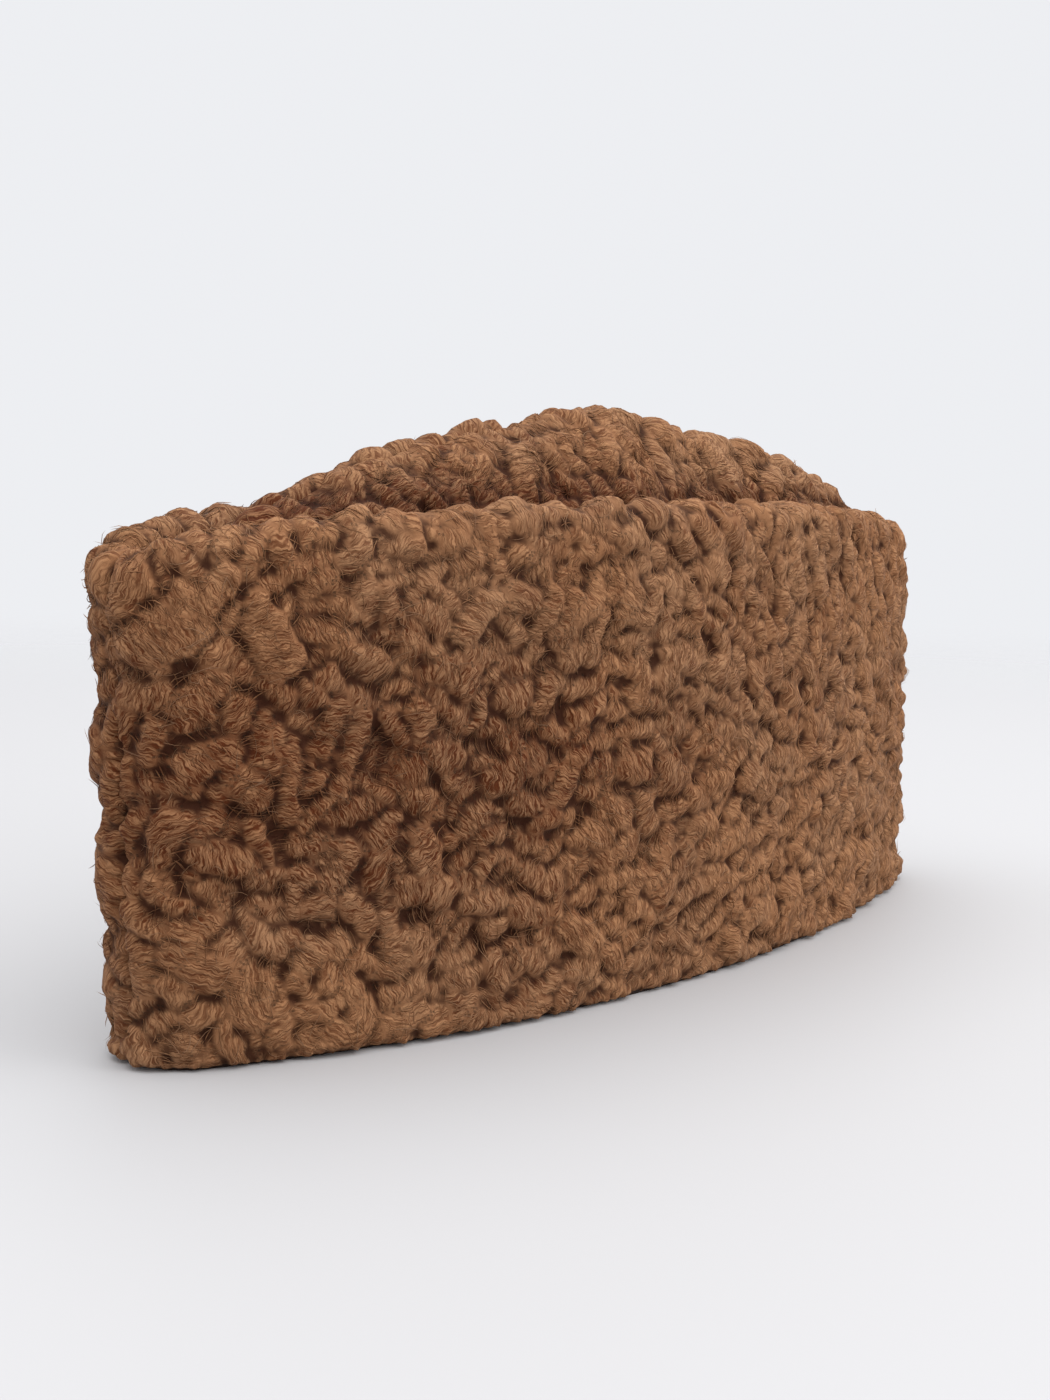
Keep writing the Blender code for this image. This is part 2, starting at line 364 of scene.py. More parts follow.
def hide_material():
    """Suede on the inside face and dark matted underfur on the fleece face, by the attribute's x.
    The underfur is near black: its own dark colour and painted shade where it shows under the rolls.
    """
    material, shader, wire = new_material("underfur_painted_shade_and_suede", Roughness=0.95)
    spot = wire.node("ShaderNodeTexCoord", output="Object")
    fine, broad = noise(spot, 1400.0, 3.0), noise(spot, 60.0, 2.0)
    suede_share, _, _ = attribute(wire, "face_side").parts()
    # Painted shade: the underfur is near black where it shows at the lower edge, the ends and the furrow.
    underfur_and_shade = fine.blend((0.010, 0.003, 0.0015, 1), (0.038, 0.013, 0.006, 1))
    suede = (fine * 0.5 + broad * 0.5).blend((0.20, 0.12, 0.065, 1), (0.36, 0.23, 0.13, 1))
    colour = suede_share.steps(0.45, 0.55).blend(underfur_and_shade, suede)
    bump = wire.node("ShaderNodeBump", inputs={"Strength": 0.6, "Distance": 0.0003, "Height": fine})
    colour.into(shader, "Base Color")
    bump.into(shader, "Normal")
    return material


hide_finish = hide_material()


def finish_hide(name, rings, fleece_rows, side):
    """The pelt's section in rings: its first rows are the fleece face, and the others the suede."""
    face_side = np.zeros(rings.shape)
    face_side[:, fleece_rows:, 0] = 1.0
    piece = closed_tube(name, rings, side > 0, {"face_side": face_side}, hide_finish)
    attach(piece, "root")


def wall_hide(name, side):
    """One closed tube from seam to seam whose ring is the wall's section: outside, rim, inside and
    lower edge. The matted bed gives the fleece face, and the pelt's thickness the suede face."""
    columns, outer_rows, rim_rows, inner_rows, end_gap = 120, 14, 9, 8, 0.0004
    along = np.linspace(end_gap, wall_length - end_gap, columns)
    foot, _, _, _ = wall_bed(along, np.zeros(columns), side)
    straight = rim_height(foot[:, 0]) - RIM_SINK - rim_radius
    half_turn = np.linspace(0, math.pi, rim_rows)[1:]
    up = np.concatenate([
        np.linspace(0, 1, outer_rows)[None] * straight[:, None],
        straight[:, None] + half_turn[None] * rim_radius,
    ], axis=1)
    fleece_face, _, _, _ = wall_bed(np.repeat(along[:, None], up.shape[1], 1), up, side)
    down = np.linspace(1, 0, inner_rows)[None, 1:]
    inner_edge = fleece_face[:, -1:]
    inside = np.repeat(inner_edge, inner_rows - 1, 1)
    inside[..., 2] *= down
    inside[..., 0] += (fleece_face[:, :1, 0] - inner_edge[..., 0]) * (1 - down)
    finish_hide(name, np.concatenate([fleece_face, inside], axis=1), up.shape[1], side)


for name, side in (("left", 1), ("right", -1)):
    wall_hide(f"hide_wall_{name}", side)

# Side walls, fleece. Lamb's hair grows in curls that close over and press on each other, so from
# outside each wall is one soft relief of rolls and creases, the hair lying across each roll.

CURL_DISCS = 5
CURL_PRESS = 1.37  # how far neighbours are pressed into each other
END_DIP = 0.0007  # how far a curl's ends dip into the bed
WIDTH_DRAW = (0.60, 1.24)  # in shares of the mean width there
LENGTH_DRAW = (1.05, 1.7, 3.2)  # in widths: least, commonest and most
SHARP_SHARE = 0.35  # of the curls, which bend more than the others
SHARP_BEND = 1.9
SLIGHT_BEND = 0.7
BEND_LIMITS = (0.05, 2.8)
TALL_DRAW = (0.72, 1.04)
RAISED_SPREAD = 0.0007
RAISED_LIMITS = (-0.0016, 0.0010)
TILT_SPREAD = 0.0006
PACKING_ROUNDS = 16
PATCH_CELL = 0.0008
PATCH_REACH = 11  # cells round a disc that it may own
PATCH_WIDTHS = (0.62, 1.45)  # how narrow and broad a patch may make its curl
LEAST_PATCH = 0.35  # in squares of the curl's width: a curl with a smaller patch is left out
GAP_STEPS = 8192
MOVE_SHARE = 0.9  # by what share of the way a curl moves in a round
TURN_SHARE = 0.25
TURN_LIMIT = 0.4
FLOOR_CLEARANCE = 0.0002
FLEECE_CELL = 0.0005
FLEECE_REACH = 12  # cells round a line point that its half circle may cover
LINE_POINTS = 13
LINE_END = 0.47  # the middle line runs to this share of the curl's length either way
SWELLING = 0.08  # a roll swells and narrows along it by this share
SWELLING_PACE = 2300
CURLS_START = -0.0035  # the pelt was cut through its lowest rolls
PILE_LEVEL = 0.0031  # the rolls' tops are nearly level: what stands higher is pressed down
PILE_OVER = 0.0012
FLEECE_UNDER = 0.0012  # how far the fleece's unseen side lies in the matted bed
FLEECE_MARGIN = 0.003  # how far two fleeces overlap at a seam
WOBBLE = ((0.00060, 9), (0.00032, 4))  # sizes, and how many cells apart
RAGGEDNESS = ((0.00016, 3), (0.00028, 6))
COMBED_LIMIT = 0.4  # by what share a roll stands higher or lower at most on one side
LOCK_WIDTH = 2.1  # millimetres
LOCK_DEPTH = 0.00018
LOCKS_FULL = 0.002  # the locks are full where the fleece is this high
HOLE_DEPTH = 0.0006  # how far a hole between rolls goes under the fleece around it
FLEECE_SETTLING = 0.0004
HEIGHT_STEPS = 1e7  # a metre, in the steps that heights are compared in
HEIGHT_START = 0.01  # they are counted from this far under the bed
LEVEL_OPENNESS = 0.53  # a place as high as those around it, from 0 in a crease to 1
OPENING_HEIGHT = 0.0017
UNSEEN_ROWS = 10
FIRST_ROW = 0.0002  # how far up the fleece starts


def curl_line(curls, pick, share):
    """Place in the bed's plane, and heading, at a share from -0.5 to 0.5 along the picked curls.
    The middle line is a circular arc, so its place is the integral of a steadily turning heading."""
    heading = curls["heading"][pick] + curls["bend"][pick] * share
    scale = curls["length"][pick] / curls["bend"][pick]
    along = curls["along"][pick] + scale * (np.sin(heading) - np.sin(curls["heading"][pick]))
    up = curls["up"][pick] - scale * (np.cos(heading) - np.cos(curls["heading"][pick]))
    return along, up, heading


def packed_curls(dice, extent, allowed, mean_heading, curl_width, start=0.0):
    """Curls are scattered on the bed, and every part of the bed then belongs to the curl whose
    discs, a few along its middle line, are nearest in widths of that curl. Each curl moves to the
    middle of its patch and turns to the patch's long axis, round after round, and at the end its
    width at each disc is that of the patch there, so neighbours touch all the way round."""
    columns, rows = int(round(extent[0] / PATCH_CELL)), int(round((extent[1] - start) / PATCH_CELL))
    sides = (np.arange(columns) + 0.5) * PATCH_CELL, (np.arange(rows) + 0.5) * PATCH_CELL + start
    cell_along, cell_up = (grid.ravel() for grid in np.meshgrid(*sides, indexing="ij"))
    is_open = allowed(cell_along, cell_up)
    crowding = is_open * PATCH_CELL**2 / (2.0 * curl_width(cell_along, cell_up) ** 2)
    count = int(crowding.sum())
    first = dice.choice(len(crowding), count, p=crowding / crowding.sum(), replace=False)
    curls = {"along": cell_along[first].copy(), "up": cell_up[first].copy()}
    mean, spread = mean_heading(curls["along"], curls["up"])
    curls["heading"] = mean + dice.normal(0, 1, count) * spread
    curls["width"] = curl_width(curls["along"], curls["up"]) * dice.uniform(*WIDTH_DRAW, count)
    curls["length"] = curls["width"] * dice.triangular(*LENGTH_DRAW, count)
    bend = dice.normal(0, 1, count)
    bend = bend * np.where(dice.random(count) < SHARP_SHARE, SHARP_BEND, SLIGHT_BEND)
    least, most = BEND_LIMITS
    curls["bend"] = np.where(np.abs(bend) < least, least, np.clip(bend, -most, most))
    everyone = np.arange(count)[:, None]
    inner = np.linspace(-0.5, 0.5, CURL_DISCS)[None] * (1 - curls["width"] / curls["length"])[:, None]
    window = np.arange(-PATCH_REACH, PATCH_REACH + 1)
    discs = count * CURL_DISCS
    nobody = np.iinfo(np.int64).max
    for _ in range(PACKING_ROUNDS):
        line_along, line_up, _ = curl_line(curls, everyone, inner)
        disc_along, disc_up = line_along.ravel(), line_up.ravel()
        column = (disc_along / PATCH_CELL).astype(int)[:, None, None] + window[None, :, None]
        row = ((disc_up - start) / PATCH_CELL).astype(int)[:, None, None] + window[None, None, :]
        inside = (column >= 0) & (column < columns) & (row >= 0) & (row < rows)
        gap = np.hypot(
            (column + 0.5) * PATCH_CELL - disc_along[:, None, None],
            (row + 0.5) * PATCH_CELL + start - disc_up[:, None, None],
        ) / np.repeat(curls["width"], CURL_DISCS)[:, None, None]
        key = (gap * GAP_STEPS).astype(np.int64) * discs + np.arange(discs)[:, None, None]
        nearest = np.full(columns * rows, nobody)
        np.minimum.at(nearest, (column * rows + row)[inside], key[inside])
        owned = is_open & (nearest < nobody)
        disc = nearest[owned] % discs
        owner = disc // CURL_DISCS
        here_along, here_up = cell_along[owned], cell_up[owned]
        area = np.maximum(np.bincount(owner, minlength=count), 1)
        middle_along = np.bincount(owner, here_along, count) / area
        middle_up = np.bincount(owner, here_up, count) / area
        cosine, sine = np.cos(curls["heading"]), np.sin(curls["heading"])
        off_along, off_up = here_along - middle_along[owner], here_up - middle_up[owner]
        ahead = off_along * cosine[owner] + off_up * sine[owner]
        aside = off_up * cosine[owner] - off_along * sine[owner]
        turn = 0.5 * np.arctan2(
            2 * np.bincount(owner, ahead * aside, count),
            np.bincount(owner, ahead**2 - aside**2, count),
        )
        curls["heading"] = curls["heading"] + TURN_SHARE * np.clip(turn, -TURN_LIMIT, TURN_LIMIT)
        curls["along"] = curls["along"] + MOVE_SHARE * (middle_along - line_along.mean(axis=1))
        curls["up"] = curls["up"] + MOVE_SHARE * (middle_up - line_up.mean(axis=1))
    patch = np.bincount(disc, minlength=discs).reshape(count, CURL_DISCS) * PATCH_CELL**2
    spacing = ((curls["length"] - curls["width"]) / (CURL_DISCS - 1))[:, None]
    full = curls["width"][:, None]
    share_of_end = np.zeros(CURL_DISCS)
    share_of_end[[0, -1]] = 1
    widths = patch / (spacing * (1 - share_of_end / 2) + 0.39 * full * share_of_end)
    widths = np.clip(widths, PATCH_WIDTHS[0] * full, PATCH_WIDTHS[1] * full)
    padded = np.pad(widths, ((0, 0), (1, 1)), mode="edge")
    curls["widths"] = (padded[:, :-2] + 2 * widths + padded[:, 2:]) / 4
    kept = area * PATCH_CELL**2 > LEAST_PATCH * curls["width"] ** 2
    curls = {key: values[kept] for key, values in curls.items()}
    count = int(kept.sum())
    curls["tone"] = dice.random(count)
    curls["phase"] = dice.uniform(0, 50, count)
    curls["tall"] = dice.uniform(*TALL_DRAW, count)
    curls["raised"] = np.clip(dice.normal(0, RAISED_SPREAD, count), *RAISED_LIMITS)
    curls["tilt"] = dice.normal(0, TILT_SPREAD, count)
    curls["lean"] = dice.normal(-0.3, 0.25, count)
    lengthwise = dice.random(count) < np.clip(1.15 - curls["length"] / curls["width"] * 0.5, 0.05, 0.6)
    slant = dice.normal(0, 0.3, count)
    curls["lie"] = np.where(lengthwise, 0.3, math.pi / 2) + slant
    return curls


def curl_girth(curls, pick, share):
    """Radius and height over the bed along the curls. The radius goes straight from disc to disc
    and closes at both ends as a sixth-power oval, and the ends dip into the bed."""
    end = np.clip(np.abs(2 * share), 0, 1)
    place = np.clip((share + 0.5) * (CURL_DISCS - 1), 0, CURL_DISCS - 1.001)
    before = place.astype(int)
    ahead = place - before
    width = curls["widths"][pick, before] * (1 - ahead) + curls["widths"][pick, before + 1] * ahead
    lift = curls["raised"][pick] + curls["tilt"][pick] * 2 * share - END_DIP * end**3
    return CURL_PRESS * width / 2 * np.sqrt(1 - end**6), lift


def kept_above_floor(points):
    """The lower edge is pressed flat where the cap stands."""
    points[..., 2] = np.maximum(points[..., 2], FLOOR_CLEARANCE)
    return points


SHEEN = {"Sheen_Weight": 0.04, "Sheen_Roughness": 0.5, "Sheen_Tint": (1.0, 0.75, 0.5, 1)}
RUDDY = (1.01, 0.985, 0.955)  # the fleece is redder than its own colour in patches
DULL = (0.99, 1.015, 1.045)  # and greyer between them


def tinted(colour, tint):
    return (*(part * share for part, share in zip(colour, tint)), 1)


def fleece_material(name, crease_root_and_shade, deep, pale):
    """Hair lines: noise drawn out along the hair and fine across it, by the hair_lie attribute in
    millimetres. The pile attribute holds tone, height out of the crease, and the pelt's tint and
    painted shade, and parting is 1 where one roll meets the next and the lines stop. Low places
    blend to the crease colour: the roots' dark colour with painted shade in the creases."""
    material, shader, wire = new_material(name, Roughness=0.8, Specular_IOR_Level=0.12, **SHEEN)
    place, border = attribute(wire, "hair_lie"), attribute(wire, "parting", "Fac")
    tone, height, tint_and_painted_shade = attribute(wire, "pile").parts()
    sway = noise(place, 0.38, 2.0, output="Color")
    swayed = wire.node(
        "ShaderNodeVectorMath", {"operation": "MULTIPLY_ADD"}, {0: sway, 1: (2.6, 0.8, 0), 2: place}
    )
    lie = wire.node("ShaderNodeMapping", inputs={"Vector": swayed, "Scale": (2.9, 0.26, 1.0)})
    strands = noise(lie, 1.0, 3.0, roughness=0.62)
    lock = wire.node("ShaderNodeMapping", inputs={"Vector": swayed, "Scale": (0.95, 0.16, 1.0)})
    tufts = noise(lock, 1.0, 1.0)
    lines = strands.steps(0.37, 0.65) * 0.86 + tufts.steps(0.3, 0.7) * 0.16
    lines = lines * (1.0 - border * 0.6) + border * 0.27
    spot = wire.node("ShaderNodeTexCoord", output="Object")
    patches = noise(spot, 22.0, 2.0)
    # The pelt's tint and painted shade darken or pale the fur.
    bright = lines + tone * 0.18 + patches.steps(0.3, 0.7) * 0.18 + tint_and_painted_shade
    shown = bright.clamped()
    ruddy = noise(spot, 38.0, 1.0)
    dull_fur, ruddy_fur = (shown.blend(tinted(deep, tint), tinted(pale, tint)) for tint in (DULL, RUDDY))
    fur = ruddy.steps(0.40, 0.60).blend(dull_fur, ruddy_fur)
    # Painted crease shade: low places, and those the pelt's painted shade darkens, blend towards the crease
    # colour, partly the roots' own dark colour.
    colour = ((height + tint_and_painted_shade * 0.35).steps(-0.06, 0.60) * 0.92 + 0.08).blend((*crease_root_and_shade, 1), fur)
    relief = (strands * 0.5 + tufts) * (1.0 - border) + border * 0.75
    bump = wire.node("ShaderNodeBump", inputs={"Strength": 0.9, "Distance": 0.0012, "Height": relief})
    colour.into(shader, "Base Color")
    bump.into(shader, "Normal")
    return material


# The first colour is the creases': the roots' dark colour with painted shade.
wall_fleece = fleece_material(
    "curled_wall_fleece", (0.023, 0.0040, 0.0007), (0.081, 0.0185, 0.0036), (0.355, 0.178, 0.0855)
)


def smooth_noise(dice, shape, spacing):
    """A random value every so many cells, and a smooth step from each to the next both ways."""
    coarse = dice.normal(0, 1, (shape[0] // spacing + 3, shape[1] // spacing + 3))
    places = [np.arange(size) / spacing for size in shape]
    (column, row), (ahead, above) = [place.astype(int) for place in places], [place % 1 for place in places]
    ahead, above = (ahead**2 * (3 - 2 * ahead))[:, None], above**2 * (3 - 2 * above)
    lines = coarse[column] * (1 - ahead) + coarse[column + 1] * ahead
    return lines[:, row] * (1 - above) + lines[:, row + 1] * above


def blurred(values, reach, passes):
    """The mean over a square of cells round each cell, from running sums, several times over."""
    for _ in range(passes):
        for axis in (0, 1):
            around = [(0, 0), (0, 0)]
            around[axis] = (reach + 1, reach)
            sums = np.cumsum(np.pad(values, around, mode="edge"), axis=axis)
            span = sums.shape[axis] - 2 * reach - 1
            far = np.take(sums, np.arange(2 * reach + 1, sums.shape[axis]), axis)
            values = (far - np.take(sums, np.arange(span), axis)) / (2 * reach + 1)
    return values


def layered_noise(dice, shape, layers):
    return sum(size * smooth_noise(dice, shape, spacing) for size, spacing in layers)


def cell_of(fleece, along, up):
    """The grid's cell at each place."""
    columns, rows = fleece["owner"].shape
    column = np.clip(np.rint((along + FLEECE_MARGIN) / FLEECE_CELL).astype(int), 0, columns - 1)
    row = np.clip(np.rint((up + FLEECE_MARGIN) / FLEECE_CELL).astype(int), 0, rows - 1)
    return column, row


def read_off(fleece, key, along, up):
    """A grid's value at places between its cells, straight from cell to cell both ways."""
    grid = fleece[key]
    column = np.clip((along + FLEECE_MARGIN) / FLEECE_CELL, 0, grid.shape[0] - 1.001)
    row = np.clip((up + FLEECE_MARGIN) / FLEECE_CELL, 0, grid.shape[1] - 1.001)
    left, low = column.astype(int), row.astype(int)
    ahead, above = column - left, row - low
    lower = grid[left, low] * (1 - ahead) + grid[left + 1, low] * ahead
    upper = grid[left, low + 1] * (1 - ahead) + grid[left + 1, low + 1] * ahead
    return lower * (1 - above) + upper * above


def hair_lie_at(curls, fleece, along, up):
    """Distances in millimetres across and along the hair of the roll that is on top at each place.
    Round the roll the distance is the arc over it."""
    owner = fleece["owner"][cell_of(fleece, along, up)]
    curl = owner // LINE_POINTS
    cosine, sine = np.cos(fleece["heading"][owner]), np.sin(fleece["heading"][owner])
    off_along, off_up = along - fleece["line_along"][owner], up - fleece["line_up"][owner]
    radius = np.maximum(fleece["radius"][owner], 0.001)
    around = radius * np.arcsin(np.clip((off_up * cosine - off_along * sine) / radius, -0.97, 0.97)) * 1000
    ahead = (fleece["share"][owner] * curls["length"][curl] + off_along * cosine + off_up * sine) * 1000
    lie = curls["lie"][curl]
    across_hair = ahead * np.sin(lie) - around * np.cos(lie)
    return np.stack([across_hair, ahead * np.cos(lie) + around * np.sin(lie), curls["phase"][curl]], -1)


def fleece_relief(curls, extent, dice):
    """The fleece's height over the matted bed, on a grid: the highest half circle over any roll's
    middle line, higher on the side that its hair is combed from. The grid's places are wobbled so
    that no roll is regular, high tops are pressed down, and low ridges and hollows are added where
    the hair parts in locks. The owner is the roll on top, at its nearest line point."""
    shape = tuple(int(math.ceil((size + 2 * FLEECE_MARGIN) / FLEECE_CELL)) + 1 for size in extent)
    sides = [np.arange(size) * FLEECE_CELL - FLEECE_MARGIN for size in shape]
    cell_along, cell_up = np.meshgrid(*sides, indexing="ij")
    wobbled = [(place + layered_noise(dice, shape, WOBBLE)).ravel() for place in (cell_along, cell_up)]
    everyone = np.arange(len(curls["along"]))[:, None]
    share = np.repeat(np.linspace(-LINE_END, LINE_END, LINE_POINTS)[None], len(everyone), 0)
    line_along, line_up, heading = curl_line(curls, everyone, share)
    radius, lift = curl_girth(curls, everyone, share)
    way = share * curls["length"][:, None]
    radius = radius * (1 + SWELLING * np.sin(way * SWELLING_PACE + curls["phase"][:, None]))
    fleece = {
        "share": share.ravel(), "line_along": line_along.ravel(), "line_up": line_up.ravel(),
        "heading": heading.ravel(), "radius": radius.ravel(),
    }
    at = {key: values[:, None, None] for key, values in fleece.items()}
    for key in ("lean", "tall"):
        at[key] = np.repeat(curls[key], LINE_POINTS)[:, None, None]
    window = np.arange(-FLEECE_REACH, FLEECE_REACH + 1)
    column = np.rint((at["line_along"] + FLEECE_MARGIN) / FLEECE_CELL).astype(int) + window[None, :, None]
    row = np.rint((at["line_up"] + FLEECE_MARGIN) / FLEECE_CELL).astype(int) + window[None, None, :]
    inside = (column >= 0) & (column < shape[0]) & (row >= 0) & (row < shape[1])
    cell = np.where(inside, column * shape[1] + row, 0)
    off_along, off_up = wobbled[0][cell] - at["line_along"], wobbled[1][cell] - at["line_up"]
    dome = np.sqrt(np.maximum(1 - (np.hypot(off_along, off_up) / at["radius"]) ** 2, 0))
    aside = off_up * np.cos(at["heading"]) - off_along * np.sin(at["heading"])
    combed = np.clip(at["lean"] * aside / at["radius"], -COMBED_LIMIT, COMBED_LIMIT)
    top = at["radius"] * dome * at["tall"] * (1 + combed)
    top = top + lift.ravel()[:, None, None] * np.minimum(2 * dome, 1)
    points = len(fleece["share"])
    number = np.arange(points)[:, None, None]
    key = ((top + HEIGHT_START) * HEIGHT_STEPS).astype(np.int64) * points + number
    key = np.where(dome > 0, key, number)
    highest = np.zeros(shape[0] * shape[1], np.int64)
    np.maximum.at(highest, cell[inside], key[inside])
    fleece["owner"] = (highest % points).reshape(shape)
    height = highest // points / HEIGHT_STEPS - HEIGHT_START - FLEECE_SETTLING
    height = np.maximum(height, 0.0).reshape(shape)
    height = np.maximum(height, blurred(height, 3, 1) - HOLE_DEPTH)
    over = np.maximum(height - PILE_LEVEL, 0)
    height = np.minimum(height, PILE_LEVEL) + PILE_OVER * np.tanh(over / PILE_OVER)
    lie = hair_lie_at(curls, fleece, cell_along, cell_up)
    locks = np.sin(lie[..., 0] * 2 * math.pi / LOCK_WIDTH + lie[..., 2] + 0.8 * np.sin(lie[..., 1] * 0.9))
    ragged = layered_noise(dice, shape, RAGGEDNESS)
    height = height + (LOCK_DEPTH * locks + ragged) * np.clip(height / LOCKS_FULL, 0, 1)
    fleece["height"] = blurred(height, 1, 1)
    # Openness is low in creases and high on tops; the materials paint shade into the low places by it.
    fleece["openness"] = LEVEL_OPENNESS + (height - blurred(height, 4, 2)) / OPENING_HEIGHT
    fleece["over"] = np.maximum(fleece["height"], blurred(height, 2, 2) - 0.0001)
    return fleece


def thinned_height(pelt, key, along, up):
    """The relief's height, brought down to the fleece's unseen side where the fleece thins out."""
    height = read_off(pelt["fleece"], key, along, up)
    return (height + FLEECE_UNDER) * pelt["thinning"](along, up, pelt["side"]) - FLEECE_UNDER


def grow_fleece(name, pelt, along, up, finish):
    """One closed sheet over a pelt: columns from seam to seam whose ring is the relief's face and
    the unseen side in the matted bed. The face comes down to the unseen side along every border."""
    curls, fleece, side = pelt["curls"], pelt["fleece"], pelt["side"]
    point, outward, _, _ = pelt["bed"](along, up, side)
    face = kept_above_floor(point + thinned_height(pelt, "height", along, up)[..., None] * outward)
    back_share = np.linspace(1, 0, UNSEEN_ROWS + 2)[1:-1]
    back_up = up[:, :1] + (up[:, -1:] - up[:, :1]) * back_share
    back_along = np.repeat(along[:, :1], UNSEEN_ROWS, 1)
    point, outward, _, _ = pelt["bed"](back_along, back_up, side)
    back = kept_above_floor(point - FLEECE_UNDER * outward)
    curl = fleece["owner"][cell_of(fleece, along, up)] // LINE_POINTS
    change_along, change_up = np.diff(curl, axis=0) != 0, np.diff(curl, axis=1) != 0
    parting = np.zeros(face.shape)
    parting[1:][change_along] = 1
    parting[:-1][change_along] = 1
    parting[:, 1:][change_up] = 1
    parting[:, :-1][change_up] = 1
    # The pile carries each roll's tone, openness for the painted crease shade, and the pelt's tint and
    # painted shade.
    attributes = {
        "hair_lie": hair_lie_at(curls, fleece, along, up),
        "pile": np.stack([
            curls["tone"][curl] * 0.6, read_off(fleece, "openness", along, up), pelt["tint_and_painted_shade"](face)
        ], -1),
        "parting": parting,
    }
    unseen = np.zeros(back.shape)
    attributes = {key: np.concatenate([values, unseen], axis=1) for key, values in attributes.items()}
    return closed_tube(name, np.concatenate([face, back], axis=1), side > 0, attributes, finish)


def rounded_off(distance, reach):
    """A quarter circle from 0 at the border to 1 at that reach from it."""
    return np.sqrt(1 - (1 - np.clip(distance / reach, 0, 1)) ** 2)


def tint_and_painted_shade_of_wall(points):
    """A wall is darker low in its back half and paler along the front, partly the fleece's own
    colour and partly painted light falloff, and darker down in the furrow as painted shade.
    """
    x, y, z = points[..., 0], points[..., 1], points[..., 2]
    reach = x / half_length
    # A dark patch low in the back half: partly darker fleece, partly painted light falloff.
    dark_patch_and_painted_falloff = np.exp(-(((reach + 0.70) / 0.50) ** 2) - ((z - 0.055) / 0.030) ** 2)
    outline = np.sqrt(np.maximum(side_radius**2 - x**2, 0)) - arc_drop
    # Painted shade down in the furrow behind the rim, below the rim's top.
    painted_furrow_shade = np.clip((outline - rim_radius * 1.2 - np.abs(y)) / rim_radius, 0, 1)
    under_rim = np.clip((rim_height(x) - z - 0.003) / 0.006, 0, 1)
    # Paler towards the front, partly colour and partly painted light; the patch and the furrow's painted
    # shade darken it.
    return 0.06 * reach - 0.32 * dark_patch_and_painted_falloff - 0.32 * painted_furrow_shade * (np.abs(reach) < 0.93) * under_rim


def wall_x(along):
    """The x of the wall's outline at that distance from the front seam."""
    angle = join_angle + (along - seam_arc) / side_radius
    return side_radius * np.cos(angle)


def wall_heading(along, up):
    """Curls lie along the wall in its lower part, and stand up it above the middle towards the
    front. Near the back seam and the lower edge they swirl every way."""
    x = wall_x(along)
    standing = np.clip((x + 0.03) / 0.05, 0, 1) * np.clip((up - 0.058) / 0.02, 0, 1)
    swirling = np.clip((-0.06 - x) / 0.04, 0, 1) + np.clip((0.012 - up) / 0.006, 0, 1)
    return standing * 1.5 - 0.10, 0.28 + 0.8 * np.clip(swirling, 0, 1)


def wall_curl_width(along, up):
    """Curls are broad towards the back seam, tight towards the front, and small over the rim."""
    over_rim = np.clip((up - 0.092) / 0.006, 0, 1)
    return (0.0042 + 0.0052 * np.maximum(-wall_x(along), 0)) * (1 - 0.28 * over_rim)


def wall_top(along):
    """The length of the way up the wall, over the rim and down to the furrow's bottom."""
    return rim_height(wall_x(along)) - RIM_SINK - rim_radius + math.pi * rim_radius + FURROW_DEPTH


def on_wall(along, up):
    """From the lowest rolls, over the rim and down to the furrow."""
    return (up > CURLS_START) & (up < wall_top(along))


def wall_thinning(along, up, side):
    """The fleece closes over the lower edge, along a wavy line at each seam so that the two walls'
    rolls interlock, and thins down inside the rim."""
    sides = np.minimum(along, wall_length - along) + FLEECE_MARGIN
    sides = sides + side * (0.0011 * np.sin(up * 1100) + 0.0007 * np.sin(up * 2700 + 1))
    inside_rim = wall_top(along) - FURROW_DEPTH - 0.35 * math.pi * rim_radius
    below = np.clip((up - inside_rim) / 0.006, 0, 1)
    scallops = 0.0024 + 0.0016 * np.sin(along * 620) * np.sin(along * 1730 + 1)
    ends = np.clip(sides / FLEECE_MARGIN, 0, 1) * rounded_off(up - FIRST_ROW, scallops)
    return ends * rounded_off(wall_top(along) - up, 0.002) * (1 - 0.35 * below)


WALL_COLUMNS = 440
WALL_ROWS = 188  # up the outside and over the rim
FURROW_ROWS = 13
wall_extent = (wall_length, rim_middle + math.pi * rim_radius + FURROW_DEPTH)
walls = {}
for name, side, seed in (("left", 1, 31), ("right", -1, 32)):
    dice = np.random.default_rng(seed)
    curls = packed_curls(dice, wall_extent, on_wall, wall_heading, wall_curl_width, CURLS_START)
    walls[name] = {
        "side": side, "bed": wall_bed, "curls": curls, "fleece": fleece_relief(curls, wall_extent, dice),
        "thinning": wall_thinning, "tint_and_painted_shade": tint_and_painted_shade_of_wall,
    }
    along = np.linspace(-FLEECE_MARGIN, wall_length + FLEECE_MARGIN, WALL_COLUMNS)[:, None]
    over = wall_top(along) - FURROW_DEPTH
    up = np.concatenate([
        FIRST_ROW + (over - FIRST_ROW) * np.linspace(0, 1, WALL_ROWS)[None],
        over + FURROW_DEPTH * np.linspace(0, 1, FURROW_ROWS + 1)[None, 1:],
    ], axis=1)
    along = np.repeat(along, up.shape[1], 1)
    piece = grow_fleece(f"curls_wall_{name}", walls[name], along, up, wall_fleece)
    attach(piece, "root")
    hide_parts(f"side_wall_{name}")

# Side walls, hairs. Fine hairs root in the crease on one side of a roll and are combed over it to
# the other, and some long ones lie loose across the rolls. They blur every edge of the fleece.

